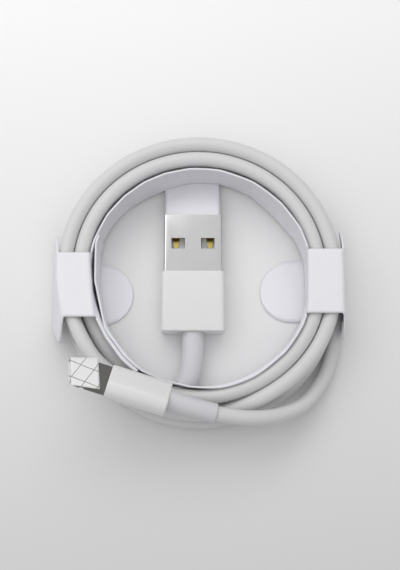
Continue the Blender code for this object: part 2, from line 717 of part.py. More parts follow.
def make_host_inside(frame):
    """The inner carrier, the crimp on the cable and the wires, all inside the housing."""
    cable_end = HOST_ROUTE[0][1] * MM - HOST_FRONT_Y
    half, high = SHELL_WIDTH / 2 - FIT, SHELL_HEIGHT / 2 - FIT
    floor = -CABLE_RADIUS - FERRULE_SHEET - 2 * FIT
    trough = TROUGH_WIDTH / 2
    outline = [(-half, -high), (half, -high), (half, high), (trough, high), (trough, floor)]
    outline += [(-trough, floor), (-trough, high), (-half, high)]
    start = HOST_REAR_WALL + FIT - HOST_LENGTH
    carrier = prism([outline], start, -SHELL_IN - 2 * MM, "Y")
    add_part("host_wire_carrier", carrier, NATURAL_PLASTIC, frame)
    make_ferrule("host_crimp_ferrule", cable_end - FERRULE_LENGTH, "Y", frame)
    tails = [(x, -SHELL_IN - GAP, 0.6 * MM) for x in (-2.1 * MM, -0.7 * MM, 0.7 * MM, 2.1 * MM)]
    corners = ((-1, 1), (-1, -1), (1, -1), (1, 1))
    ends = [(x * 0.6 * MM, cable_end + GAP, z * 0.6 * MM) for x, z in corners]
    make_wires("host", tails, ends, frame)


def make_host_plug():
    frame = add_frame("host_plug", (HOST_X, HOST_FRONT_Y, HOST_AXIS_Z))
    make_host_housing(frame)
    make_host_shell(frame)
    make_host_tongue(frame)
    make_host_contacts(frame)
    make_host_inside(frame)


def tip_matrix():
    aim = Matrix.Rotation(TIP_HEADING, 4, "Z") @ Matrix.Rotation(-TIP_PITCH, 4, "Y")
    return Matrix.Translation(TIP_PLACE) @ aim @ Matrix.Rotation(TIP_ROLL, 4, "X")


def make_tip_housing(frame):
    outer = rounded_rectangle(TIP_WIDTH, TIP_HEIGHT, TIP_HEIGHT / 2 - FIT, 8)
    housing = add_part("tip_housing", prism([outer], -TIP_LENGTH, 0, "X"), WHITE_PLASTIC, frame)
    round_edges(housing, TIP_EDGE)
    inner_height = TIP_HEIGHT - 2 * TIP_WALL
    inner = rounded_rectangle(TIP_WIDTH - 2 * TIP_WALL, inner_height, inner_height / 2 - FIT, 6)
    cavity = prism([inner], TIP_WALL - TIP_LENGTH, -TIP_WALL, "X")
    combine(housing, add_cutter("tip_cavity", cavity, frame))
    slot = rounded_rectangle(BLADE_WIDTH + 2 * FIT, BLADE_SHEET + 2 * FIT, BLADE_SHEET / 3)
    combine(housing, add_cutter("tip_slot", prism([slot], -MM, MM, "X"), frame))
    hole = prism([circle(TIP_RELIEF_RADIUS + FIT, 24)], -TIP_LENGTH - MM, MM - TIP_LENGTH, "X")
    combine(housing, add_cutter("tip_cable_hole", hole, frame))
    smooth(housing)


def make_tip_blade(frame):
    """The metal blade: round corners at its end, a detent in each side and a window for its contacts."""
    half = BLADE_WIDTH / 2
    root = BOARD_WIDTH / 2
    outline = [(-BLADE_IN, -root), (-TIP_WALL - GAP, -root), (-TIP_WALL - GAP, -half)]
    for corner_y, first in ((-half + BLADE_CORNER, -math.pi / 2), (half - BLADE_CORNER, 0.0)):
        for step in range(7):
            angle = first + math.pi / 2 * step / 6
            x = BLADE_OUT - BLADE_CORNER + BLADE_CORNER * math.cos(angle)
            outline.append((x, corner_y + BLADE_CORNER * math.sin(angle)))
    outline += [(-TIP_WALL - GAP, half), (-TIP_WALL - GAP, root), (-BLADE_IN, root)]
    field = [(FIELD_X + x, y) for x, y in rounded_rectangle(FIELD_LENGTH, FIELD_WIDTH, 0.3 * MM, 2)]
    mesh = prism([outline, field], -BLADE_SHEET / 2, BLADE_SHEET / 2, "Z")
    blade = add_part("tip_blade", mesh, DARK_STEEL, frame)
    for side in (-1, 1):
        name = "tip_detent_left" if side > 0 else "tip_detent_right"
        cutter = prism([circle(DETENT_RADIUS)], -MM, MM, "Z")
        middle = (DETENT_X, side * (half + DETENT_RADIUS - DETENT_DEPTH), 0)
        cutter.transform(Matrix.Translation(middle))
        combine(blade, add_cutter(name, cutter, frame))
    smooth(blade)


def make_tip_contacts(frame):
    """The insulator in the blade's window, with eight contacts on either face."""
    half = INSULATOR_SHEET / 2
    outline = rounded_rectangle(FIELD_LENGTH - 2 * FIT, FIELD_WIDTH - 2 * FIT, 0.3 * MM, 2)
    mesh = prism([[(FIELD_X + x, y) for x, y in outline]], -half, half, "Z")
    add_part("tip_insulator", mesh, NATURAL_PLASTIC, frame)
    for face, side in (("top", 1), ("bottom", -1)):
        for number in range(TIP_CONTACTS):
            y = (number - (TIP_CONTACTS - 1) / 2) * TIP_CONTACT_PITCH
            low = half + FIT / 2 if side > 0 else -half - FIT / 2 - TIP_CONTACT_SHEET
            start = (FIELD_X - TIP_CONTACT_LENGTH / 2, y - TIP_CONTACT_WIDTH / 2, low)
            end = (FIELD_X + TIP_CONTACT_LENGTH / 2, y + TIP_CONTACT_WIDTH / 2, low + TIP_CONTACT_SHEET)
            add_part(f"tip_{face}_contact_{number + 1}", box(start, end), GOLD, frame)


def make_tip_inside(frame):
    """The circuit board behind the blade, its control chip, the wires and the crimp."""
    board_front = -BLADE_IN - FIT
    board_back = board_front - BOARD_LENGTH
    thin = BOARD_SHEET / 2
    board = box((board_back, -BOARD_WIDTH / 2, -thin), (board_front, BOARD_WIDTH / 2, thin))
    add_part("tip_circuit_board", board, GREEN_BOARD, frame)
    length, width, height = CHIP_SIZE
    chip_x = board_front - length * 0.7
    chip_z = thin + FIT
    chip = box((chip_x - length / 2, -width / 2, chip_z), (chip_x + length / 2, width / 2, chip_z + height))
    add_part("tip_control_chip", chip, BLACK_CHIP, frame)
    cable_end = 2.0 * MM - TIP_LENGTH
    make_ferrule("tip_crimp_ferrule", cable_end - FERRULE_LENGTH * 0.6, "X", frame)
    pad_z = thin + WIRE_RADIUS + FIT
    pads = [(board_back + 0.8 * MM, y, pad_z) for y in (-1.95 * MM, -0.65 * MM, 0.65 * MM, 1.95 * MM)]
    corners = ((-1, 1), (-1, -1), (1, -1), (1, 1))
    ends = [(cable_end + GAP, y * 0.6 * MM, 0.5 * MM + z * 0.45 * MM) for y, z in corners]
    make_wires("tip", pads, ends, frame)


def make_tip_film(frame):
    """The thin film folded round the blade, open along the side that faces the table."""
    half, gap = BLADE_WIDTH / 2, BLADE_SHEET / 2 + GAP
    bend = 5

    def fold(along, round_blade):
        overhang = FILM_OVERHANG_BACK + (FILM_OVERHANG_FRONT - FILM_OVERHANG_BACK) * along
        folded_y = -half - overhang
        open_y = half - FILM_SHORT * (1 - along)
        step = round(round_blade * (bend + 2))
        if step == 0:
            y, z = open_y, -gap
        elif step == bend + 2:
            y, z = open_y, gap
        else:
            angle = -math.pi / 2 - math.pi * (step - 1) / bend
            y, z = folded_y + gap + gap * math.cos(angle), gap * math.sin(angle)
        x = FILM_BACK_X + (FILM_FRONT_X - FILM_BACK_X) * along - FILM_SKEW * y / BLADE_WIDTH
        return Vector((x, y, z))

    film = add_part("tip_film", sheet(2, bend + 2, fold), WHITE_FILM, frame)
    thicken(film, FILM)
    smooth(film)


def make_tip_plug():
    frame = add_frame("tip_plug", Vector(), tip_matrix())
    make_tip_housing(frame)
    make_tip_blade(frame)
    make_tip_contacts(frame)
    make_tip_inside(frame)
    make_tip_film(frame)


def main():
    print_cable_sizes()
    make_cable()
    make_strain_reliefs()
    make_host_plug()
    make_tip_plug()
    make_card()


for old in list(bpy.data.objects):
    bpy.data.objects.remove(old, do_unlink=True)
PARTS = new_collection("charging_cable")
CUTTERS = new_collection("cutters")
main()
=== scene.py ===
"""The looks of a charging cable that is coiled round its folded card retainer.

It is laid out as an add-on and run as a script: one operator makes each group of pieces round
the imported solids, and one sets the stage. Lengths are in metres, in the frame of the solids.
"""

import math
from typing import NamedTuple

import bmesh
import bpy
import numpy as np
from bpy.props import FloatProperty, PointerProperty
from mathutils import Matrix, Vector


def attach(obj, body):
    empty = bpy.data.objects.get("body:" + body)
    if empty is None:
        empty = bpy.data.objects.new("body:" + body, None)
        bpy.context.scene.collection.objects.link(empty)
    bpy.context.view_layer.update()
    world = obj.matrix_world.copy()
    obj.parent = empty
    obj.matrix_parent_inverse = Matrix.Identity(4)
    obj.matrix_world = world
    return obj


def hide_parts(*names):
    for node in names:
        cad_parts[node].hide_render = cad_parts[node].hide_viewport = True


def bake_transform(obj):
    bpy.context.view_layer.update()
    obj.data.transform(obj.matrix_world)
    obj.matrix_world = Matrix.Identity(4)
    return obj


bl_info = {
    "name": "Coiled charging cable",
    "version": (1, 0, 0),
    "blender": (4, 5, 0),
    "location": "View3D > Sidebar > Cable",
    "description": "Dresses the solids of a coiled charging cable on its card retainer",
    "category": "Object",
}

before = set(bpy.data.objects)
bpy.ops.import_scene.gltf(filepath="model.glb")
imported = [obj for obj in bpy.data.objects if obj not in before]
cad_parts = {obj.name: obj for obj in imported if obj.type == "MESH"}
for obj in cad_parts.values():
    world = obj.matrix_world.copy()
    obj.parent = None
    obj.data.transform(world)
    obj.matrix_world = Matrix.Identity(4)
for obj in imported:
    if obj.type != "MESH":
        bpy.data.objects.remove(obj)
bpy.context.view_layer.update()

MM = 0.001

# Cable, wound as the solids are
CABLE_RADIUS = 1.5 * MM
CORD_STEP = 1.2 * MM
KNOTS_PER_TURN = 36
CARD = 0.35 * MM
GAP = 0.3 * MM
LAYER_STEP = 3.3 * MM
LEVEL_1 = CARD + GAP + CABLE_RADIUS
LEVEL_2 = LEVEL_1 + LAYER_STEP
LEVEL_3 = LEVEL_2 + LAYER_STEP
INNER_TURN = 24.55 * MM
OUTER_TURN = INNER_TURN + 3.1 * MM
ENTRY_TURN = INNER_TURN + 0.6 * MM
SWUNG_TURN = OUTER_TURN + 1.2 * MM
COIL_START = 0.14
COIL_END = 4.72
MOVES = (
    (0.14, 0.30, INNER_TURN, LEVEL_1),
    (0.60, 0.90, INNER_TURN, LEVEL_2),
    (1.14, 1.26, INNER_TURN, LEVEL_3),
    (2.03, 2.15, OUTER_TURN, LEVEL_3),
    (2.90, 3.02, OUTER_TURN, LEVEL_2),
    (3.80, 3.91, SWUNG_TURN, LEVEL_1),
    (4.10, 4.30, OUTER_TURN, LEVEL_1),
)
# Where the turns are pressed in: direction from the axis, depth, power of its falling off
PRESSES = (
    (math.radians(208), 1.5 * MM, 3),
    (math.radians(292), 0.6 * MM, 6),
    (math.radians(0), 0.35 * MM, 12),
)
HOST_ROUTE = (
    (-0.00112, -0.0074, 0.0030),
    (-0.00112, -0.0122, 0.0030),
    (-0.0012, -0.0148, 0.00295),
    (-0.0015, -0.0176, 0.00275),
    (-0.00225, -0.02025, 0.00245),
    (-0.0043, -0.0226, 0.0022),
    (-0.0073, -0.0236, 0.00215),
    (-0.01015, -0.0225, 0.00215),
    (-0.0138, -0.0201, 0.00215),
)
DEVICE_ROUTE = (
    (0.02775, -0.0036, 0.00215),
    (0.0278, -0.0086, 0.00215),
    (0.0275, -0.0129, 0.00215),
    (0.0263, -0.0173, 0.00225),
    (0.02485, -0.0203, 0.0028),
    (0.02105, -0.0249, 0.0048),
    (0.01555, -0.0275, 0.0080),
    (0.0098, -0.0282, 0.0109),
    (0.00344, -0.0275, 0.0125),
    (-0.0011, -0.0264, 0.01325),
)
HOST_RELIEF_END = 4
DEVICE_RELIEF_END = 8
HOST_RELIEF_RADIUS = 2.2 * MM
TIP_RELIEF_RADIUS = 1.95 * MM
RELIEF_LIP = 0.35 * MM
RELIEF_BORE = 1.56 * MM
RELIEF_STEP = 0.5 * MM

# Host plug
HOST_PLACE = Vector((-1.12, 1.95, 3.0)) * MM
HOST_SIZE = (12.9 * MM, 6.0 * MM, 12.35 * MM)
HOST_EDGE = 0.3 * MM
HOST_CORNER = 1.0 * MM
HOST_WALL = 0.8 * MM
SHELL_OPENING = (12.24 * MM, 4.74 * MM, 0.67 * MM)
HOST_HOLE = 2.32 * MM
MOUTH_Y = 13.75 * MM

# Tip plug
TIP_PLACE = Vector((-17.19, -21.47, 15.0)) * MM
TIP_HEADING = math.radians(162.9)
TIP_PITCH = math.radians(6)
TIP_ROLL = math.radians(42)
TIP_SIZE = (7.5 * MM, 4.5 * MM, 12.0 * MM)
TIP_EDGE = 0.35 * MM
TIP_CORNER = 2.13 * MM
TIP_WALL = 0.5 * MM
BLADE_OPENING = (6.94 * MM, 1.74 * MM, 0.5 * MM)
TIP_HOLE = 2.07 * MM
BLADE_WIDTH = 6.7 * MM
BLADE_SHEET = 1.5 * MM
FILM = 0.12 * MM
FILM_BACK_X = 2.05 * MM
FILM_FRONT_X = 7.7 * MM
FILM_SKEW = 1.82 * MM
FILM_OVERHANG_BACK = 1.5 * MM
FILM_OVERHANG_FRONT = -0.8 * MM
FILM_OPEN_BACK = 0.5 * MM
FILM_OPEN_FRONT = 1.7 * MM
FILM_SHORT = 0.8 * MM
RULING_LEANS = (-0.55, 0.4)  # of its steep and of its level lines
RULING_DENSITY = 330.0  # lines a metre
RULING_WIDTH = 0.06  # share of their spacing
RULING_STRENGTH = 0.85

# Card ring
RING_RADIUS = 22.0 * MM
OVERLAP_START = math.radians(157.5)
OVERLAP_PARTED = math.radians(170)
OVERLAP_END = math.radians(213)
OVERLAP_JOINED = math.radians(242)
STRIP_END = math.radians(598)
LAYER_GAP = 0.42 * MM
OVERLAP_DEPTH = 0.75 * MM
INNER_FLATS = ((math.radians(180), 20.47 * MM), (math.radians(192.6), 20.21 * MM))
RIM_LEAN = 0.95 * MM
LEAN_START = math.radians(258)
LEAN_FULL = math.radians(288)
LEAN_FADES = math.radians(345)
LEAN_GONE = math.radians(430)
END_LEAN = 0.8 * MM
END_LEAN_START = math.radians(566)
LEAN_POWER = 10
FLAT_REACH = 0.85
FACET = math.radians(15)
FACET_DIP = 0.11 * MM
RIM_WAVER = 0.12 * MM
FOOT_DENTS = (
    (math.radians(113), 0.6 * MM, 24),
    (math.radians(40), 0.8 * MM, 24),
    (math.radians(-5), -0.3 * MM, 12),
)
NOTCH_WIDTH = 6.2 * MM
NOTCH_HEIGHT = 5.6 * MM
NOTCH_X = -2.6 * MM
PLUG_TAB_WIDTH = 11.0 * MM
PLUG_TAB_ROOT = (math.radians(469), math.radians(438.5))
PLUG_TAB_DEPTH = 3.6 * MM
PLUG_TAB_RISE = 3.9 * MM
PLUG_TAB_RAMP = 0.7

# Straps
STRAP_WIDTH = 12.95 * MM
STRAP_Z = LEVEL_3 + CABLE_RADIUS + GAP + CARD / 2
RING_FOOT = CARD + GAP
WING = 4.55 * MM
WING_POWER = 1.3
INNER_FOLD = 0.5 * MM
FOLD_DEPTH = 1.0 * MM
FLAP_FOLD = 0.9 * MM
FOOT_FOLD = 0.25 * MM
FOOT_HEM = 0.06  # share of the flap's height that goes with the foot
TAB_LIFT = 0.2 * MM
TAB_LIFT_INSET = 2 * MM  # from the ring to where the tab starts to lift
PANEL_STEPS = 12
FOLD_STEPS = 8


class Strap(NamedTuple):
    """One strap: its straight fold on the ring, its middle, its creases and its round end."""

    fold: tuple  # direction from the axis, distance
    middle_y: float
    end_y: float
    hinge_x: float
    crease_x: tuple  # where it bends over the coil, at its south edge, its middle and its north edge
    foot_x: float
    end_x: float
    wing_bend: tuple  # how far each wing curls in towards the coil, south and north

    def side(self):
        return math.copysign(1, self.hinge_x)

    def fold_x(self, y):
        facing, distance = self.fold
        return (distance - y * math.sin(facing)) / math.cos(facing)

    def bend_x(self, across):
        """A curve through the three places of the bend, from south (0) to north (1)."""
        south, middle, north = self.crease_x
        ends = south * (1 - across) * (1 - 2 * across) + north * across * (2 * across - 1)
        return ends + middle * 4 * across * (1 - across)


STRAPS = {
    "left": Strap(
        fold=(math.radians(184.9), 21.35 * MM),
        middle_y=-1.85 * MM,
        end_y=-2.2 * MM,
        hinge_x=-28.1 * MM,
        crease_x=(-26.6 * MM, -27.85 * MM, -28.0 * MM),
        foot_x=-30.0 * MM,
        end_x=-13.5 * MM,
        wing_bend=(0.45 * MM, 0.05 * MM),
    ),
    "right": Strap(
        fold=(math.radians(-1), 21.85 * MM),
        middle_y=-1.1 * MM,
        end_y=-1.6 * MM,
        hinge_x=28.9 * MM,
        crease_x=(28.85 * MM, 28.85 * MM, 28.85 * MM),
        foot_x=29.9 * MM,
        end_x=12.75 * MM,
        wing_bend=(0.3 * MM, 0.5 * MM),
    ),
}

# Floor, light and camera, fitted to the photograph
# Depth over which the floor's painted light falloff runs from its darker front to its paler back
PAINTED_FALLOFF_SPAN = 0.12
FLOOR_REACH = 1.5
FLOOR_Z = -0.02 * MM
SKY_LOW = 0.25  # light from the horizon, of the fill's full strength
SKY_RISE = 0.7  # what the zenith adds to it
BACK_SOFTBOX_PLACE = (-0.04, 0.134, 0.196)
BACK_SOFTBOX_SIZE = (0.30, 0.12)
LEFT_SOFTBOX_PLACE = (-0.16, 0.02, 0.1)
LEFT_SOFTBOX_SIZE = (0.1, 0.16)
CAMERA_PLACE = Vector((0.324, -43.257, 225.188)) * MM
CAMERA_FORWARD = Vector((0.0, 0.18893, -0.98199))
CAMERA_LENS = 69.71


class Number:
    """A number in a shader, with the usual arithmetic."""

    def __init__(self, shader, socket):
        self.shader = shader
        self.socket = socket

    def __add__(self, other):
        return self.shader.maths("ADD", self, other)

    def __sub__(self, other):
        return self.shader.maths("SUBTRACT", self, other)

    def __rsub__(self, other):
        return self.shader.maths("SUBTRACT", other, self)

    def __mul__(self, other):
        return self.shader.maths("MULTIPLY", self, other)

    def __pow__(self, other):
        return self.shader.maths("POWER", self, other)

    def __lt__(self, other):
        return self.shader.maths("LESS_THAN", self, other)

    def __truediv__(self, other):
        return self.shader.maths("DIVIDE", self, other)

    __radd__ = __add__
    __rmul__ = __mul__


class Shader:
    """The nodes of a material, or of the world, with the inputs of its surface built up from them."""

    def __init__(self, holder, surface="Principled BSDF"):
        holder.use_nodes = True
        self.holder = holder
        self.tree = holder.node_tree
        self.surface = self.tree.nodes[surface]

    def put(self, node, inputs):
        for key, value in inputs.items():
            if isinstance(value, Number):
                value = value.socket
            if isinstance(value, bpy.types.NodeSocket):
                self.tree.links.new(value, node.inputs[key])
            else:
                node.inputs[key].default_value = value

    def node(self, kind, settings, inputs):
        made = self.tree.nodes.new(kind)
        for key, value in settings.items():
            setattr(made, key, value)
        self.put(made, inputs)
        return made

    def maths(self, operation, first, second):
        made = self.node("ShaderNodeMath", {"operation": operation}, {0: first, 1: second})
        return Number(self, made.outputs[0])

    def place(self, stretch=(1, 1, 1)):
        """The point in the frame of the solids, stretched along each axis."""
        point = self.node("ShaderNodeTexCoord", {}, {}).outputs["Object"]
        made = self.node("ShaderNodeVectorMath", {"operation": "MULTIPLY"}, {0: point, 1: stretch})
        return made.outputs[0]

    def noise(self, scale, detail=3.0, stretch=(1, 1, 1)):
        """Noise about 0.5, with this many lumps a metre."""
        inputs = {"Vector": self.place(stretch), "Scale": scale, "Detail": detail}
        return Number(self, self.node("ShaderNodeTexNoise", {}, inputs).outputs[0])

    def axis(self, index):
        made = self.node("ShaderNodeSeparateXYZ", {}, {0: self.place()})
        return Number(self, made.outputs[index])

    def mix(self, share, first, second):
        made = self.node("ShaderNodeMix", {"data_type": "RGBA"}, {0: share, 6: first, 7: second})
        return made.outputs[2]

    def bump(self, height, strength, distance):
        inputs = {"Height": height, "Strength": strength, "Distance": distance}
        return self.node("ShaderNodeBump", {}, inputs).outputs[0]

    def finish(self, **inputs):
        self.put(self.surface, {key.replace("_", " "): value for key, value in inputs.items()})
        return self.holder


def rgb(red, green, blue):
    return (red, green, blue, 1.0)


def grey(tone, tint=(1.0, 1.0, 1.0)):
    return rgb(*(tone * share for share in tint))


def moulded_plastic(name, light, dark, roughness):
    """Smooth moulding: hardly any texture, a little unevenness in its shine and faint handling marks."""
    shader = Shader(bpy.data.materials.new(name))
    cloud = shader.noise(220, 2)
    grain = shader.noise(9000, 2)
    marks = shader.noise(1400, 4, (1, 0.2, 1))
    return shader.finish(
        Base_Color=shader.mix(cloud, light, dark),
        Roughness=roughness + (cloud - 0.5) * 0.12 + (marks - 0.5) * 0.08,
        Normal=shader.bump(grain, 0.06, 0.03 * MM),
        IOR=1.47,
    )


def soft_jacket(name, light, dark):
    """The cable's soft skin: satin, faintly uneven along its length, with a fine drawn grain."""
    shader = Shader(bpy.data.materials.new(name))
    cloud = shader.noise(90, 3)
    grain = shader.noise(7000, 3)
    dull = shader.noise(500, 3)
    return shader.finish(
        Base_Color=shader.mix(cloud, light, dark),
        Roughness=0.44 + (dull - 0.5) * 0.2,
        Normal=shader.bump(grain + cloud * 2.0, 0.08, 0.04 * MM),
        IOR=1.45,
        Subsurface_Weight=0.08,
        Subsurface_Radius=(0.6 * MM, 0.6 * MM, 0.6 * MM),
        Sheen_Weight=0.05,
    )


def uncoated_card(name, light, dark):
    """White card: short fibres, a mottled tone and a dull surface."""
    shader = Shader(bpy.data.materials.new(name))
    fibres = shader.noise(3200, 5, (1, 1, 0.35))
    mottle = shader.noise(420, 4)
    return shader.finish(
        Base_Color=shader.mix(mottle * 0.7 + fibres * 0.3, light, dark),
        Roughness=0.72 + (fibres - 0.5) * 0.25,
        Normal=shader.bump(fibres + mottle * 0.6, 0.18, 0.05 * MM),
        Specular_IOR_Level=0.3,
    )


def brushed_metal(name, light, dark, roughness, stretch):
    """Plated sheet, with fine lines along its drawing direction and a slightly cloudy shine."""
    shader = Shader(bpy.data.materials.new(name))
    lines = shader.noise(2600, 3, stretch)
    cloud = shader.noise(300, 2)
    return shader.finish(
        Base_Color=shader.mix(lines * 0.6 + cloud * 0.4, light, dark),
        Roughness=roughness + (lines - 0.5) * 0.14 + (cloud - 0.5) * 0.08,
        Normal=shader.bump(lines, 0.05, 0.02 * MM),
        Metallic=1.0,
    )


def thin_film(name, light, line_colour):
    """Thin white film with a wide diagonal ruling and soft creases."""
    shader = Shader(bpy.data.materials.new(name))
    wrinkle = shader.noise(350, 3)
    x, y = shader.axis(0), shader.axis(1)
    waver = shader.noise(200, 2) * 0.4 * MM
    ruling = 0.0
    steep, level = RULING_LEANS
    for across in (x + y * steep, y + x * level):
        phase = shader.maths("FRACT", (across + waver) * RULING_DENSITY, 0.0)
        ruling = shader.maths("MAXIMUM", ruling, phase < RULING_WIDTH)
    return shader.finish(
        Base_Color=shader.mix(ruling * RULING_STRENGTH, light, line_colour),
        Roughness=0.38 + (wrinkle - 0.5) * 0.2,
        Normal=shader.bump(wrinkle, 0.25, 0.2 * MM),
    )


def add_piece(name, mesh, material):
    piece = bpy.data.objects.new(name, mesh)
    bpy.context.scene.collection.objects.link(piece)
    piece.data.materials.append(material)
    return piece


def smooth(piece, angle=math.radians(35)):
    piece.data.shade_smooth()
    piece.data.set_sharp_from_angle(angle=angle)


def thicken(piece, thickness):
    modifier = piece.modifiers.new("sheet thickness", "SOLIDIFY")
    modifier.thickness = thickness
    modifier.offset = 0.0
    modifier.use_even_offset = True


def sheet(columns, rows, place):
    """A grid whose points are put at place(u, v), with u and v from 0 to 1."""
    mesh = bpy.data.meshes.new("sheet")
    shape = bmesh.new()
    bmesh.ops.create_grid(shape, x_segments=columns, y_segments=rows, size=0.5)
    for vertex in shape.verts:
        vertex.co = place(vertex.co.x + 0.5, vertex.co.y + 0.5)
    bmesh.ops.recalc_face_normals(shape, faces=shape.faces)
    shape.to_mesh(mesh)
    shape.free()
    return mesh


def loft(rings, closed):
    """A skin over rings of points that have the same count, closed on itself or open."""
    mesh = bpy.data.meshes.new("loft")
    shape = bmesh.new()
    loops = [[shape.verts.new(point) for point in ring] for ring in rings]
    if closed:
        loops.append(loops[0])
    for near, far in zip(loops, loops[1:]):
        for i in range(len(near)):
            shape.faces.new((near[i - 1], near[i], far[i], far[i - 1]))
    bmesh.ops.remove_doubles(shape, verts=shape.verts, dist=0.001 * MM)
    bmesh.ops.recalc_face_normals(shape, faces=shape.faces)
    shape.to_mesh(mesh)
    shape.free()
    return mesh


def rounded_rectangle(width, height, radius, steps=10):
    """The outline of a rectangle about the origin, with round corners."""
    points = []
    for corner, (side_x, side_y) in enumerate(((1, 1), (-1, 1), (-1, -1), (1, -1))):
        for step in range(steps + 1):
            angle = math.pi / 2 * (corner + step / steps)
            x = side_x * (width / 2 - radius) + radius * math.cos(angle)
            y = side_y * (height / 2 - radius) + radius * math.sin(angle)
            points.append((x, y))
    return points


def ease(amount):
    amount = min(max(amount, 0.0), 1.0)
    return amount * amount * (3 - 2 * amount)


def pressed_in(angle, places):
    """The depth at this angle of a row of soft dents."""
    return sum(depth * max(0.0, math.cos(angle - middle)) ** power for middle, depth, power in places)


def around(angle, radius, height):
    return Vector((radius * math.cos(angle), radius * math.sin(angle), height))


def coil_point(turn):
    """The middle of the cable after this many turns from six o'clock."""
    radius, height = ENTRY_TURN, LEVEL_1
    for start, end, new_radius, new_height in MOVES:
        done = ease((turn - start) / (end - start))
        radius += (new_radius - radius) * done
        height += (new_height - height) * done
    angle = -math.pi / 2 - 2 * math.pi * turn
    return around(angle, radius - pressed_in(angle, PRESSES), height)


def smooth_points(route, spacing):
    """Evenly spaced points on a smooth curve through the route."""
    knots = np.array([tuple(point) for point in route])
    knots = np.vstack((2 * knots[0] - knots[1], knots, 2 * knots[-1] - knots[-2]))
    fine = []
    for before, first, second, after in zip(knots, knots[1:], knots[2:], knots[3:]):
        for t in np.linspace(0, 1, 20, endpoint=False):
            straight = 2 * first + (second - before) * t
            bend = (2 * before - 5 * first + 4 * second - after) * t**2
            twist = (3 * first - before - 3 * second + after) * t**3
            fine.append((straight + bend + twist) / 2)
    fine = np.array(fine + [knots[-2]])
    length = np.concatenate(([0], np.cumsum(np.linalg.norm(np.diff(fine, axis=0), axis=1))))
    count = max(2, round(length[-1] / spacing) + 1)
    at = np.linspace(0, length[-1], count)
    return [Vector([np.interp(d, length, fine[:, axis]) for axis in range(3)]) for d in at]


def route_length(points):
    return sum((far - near).length for near, far in zip(points, points[1:]))


def tip_matrix():
    aim = Matrix.Rotation(TIP_HEADING, 4, "Z") @ Matrix.Rotation(-TIP_PITCH, 4, "Y")
    return Matrix.Translation(TIP_PLACE) @ aim @ Matrix.Rotation(TIP_ROLL, 4, "X")


def tip_point(along):
    return tip_matrix() @ Vector((along, 0, 0))


def cable_points():
    """The whole cable's middle line, from inside the host plug to inside the tip plug."""
    count = round((COIL_END - COIL_START) * KNOTS_PER_TURN)
    coil = [coil_point(COIL_START + (COIL_END - COIL_START) * i / count) for i in range(count + 1)]
    inside = [tip_point(-TIP_SIZE[2]), tip_point(-TIP_SIZE[2] + 2 * MM)]
    return smooth_points([*HOST_ROUTE, *coil, *DEVICE_ROUTE, *inside], CORD_STEP)


def make_cord(look):
    points = cable_points()
    curve = bpy.data.curves.new("cable", "CURVE")
    curve.dimensions = "3D"
    curve.bevel_depth = look.cable_diameter / 2
    curve.bevel_resolution = 6
    curve.use_fill_caps = True
    spline = curve.splines.new("POLY")
    spline.points.add(len(points) - 1)
    spline.use_smooth = True
    for point, place in zip(spline.points, points):
        point.co = (*place, 1.0)
    light, dark = grey(look.cable_tone), grey(look.cable_tone * 0.94)
    cable = add_piece("cable", curve, soft_jacket("cable jacket", light, dark))
    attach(cable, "cable")
    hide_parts("cable_host_lead", "cable_coil", "cable_device_lead")


def sweep(points, profile, sides=32):
    """A skin round a path; the profile gives the share of the path and the radius of each ring."""
    length = np.linspace(0, 1, len(points))
    path = np.array([tuple(point) for point in points])
    rings = []
    for share, radius in profile:
        middle = Vector([np.interp(share, length, path[:, axis]) for axis in range(3)])
        at = min(int(share * (len(points) - 1)), len(points) - 2)
        along = (points[at + 1] - points[at]).normalized()
        side = along.cross(Vector((0, 0, 1))).normalized()
        top = side.cross(along)
        turns = [2 * math.pi * i / sides for i in range(sides)]
        rings.append([middle + (side * math.cos(a) + top * math.sin(a)) * radius for a in turns])
    return loft(rings, closed=False)


def make_relief(name, points, radius, material):
    """A soft sleeve with a rounded mouth that closes on the cable."""
    lip = RELIEF_LIP / route_length(points)
    profile = [(share, radius) for share in np.linspace(0, 1 - lip, 16)]
    for step in range(1, 6):
        angle = math.pi / 2 * step / 5
        profile.append((1 - lip + lip * math.sin(angle), radius - RELIEF_LIP * (1 - math.cos(angle))))
    profile.append((1.0, RELIEF_BORE))
    profile.append((1.0 - 2 * lip, RELIEF_BORE))
    relief = add_piece(f"{name}_sleeve", sweep(points, profile), material)
    smooth(relief)
    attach(relief, "cable")
    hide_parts(f"{name}_strain_relief")


def make_reliefs(look):
    tint = (0.99, 0.985, 1.03)
    light, dark = grey(look.relief_tone, tint), grey(look.relief_tone * 0.95, tint)
    material = soft_jacket("strain relief", light, dark)
    host = [Vector(point) for point in HOST_ROUTE[: HOST_RELIEF_END + 1]]
    host.append((host[-1] + Vector(HOST_ROUTE[HOST_RELIEF_END + 1])) / 2)
    host[0].y = HOST_PLACE.y - HOST_SIZE[2] + HOST_WALL / 2
    make_relief("host", smooth_points(host, RELIEF_STEP), HOST_RELIEF_RADIUS, material)
    tip = [tip_point(-TIP_SIZE[2] + TIP_WALL / 2)]
    tip += [Vector(point) for point in reversed(DEVICE_ROUTE[DEVICE_RELIEF_END:])]
    make_relief("tip", smooth_points(tip, RELIEF_STEP), TIP_RELIEF_RADIUS, material)


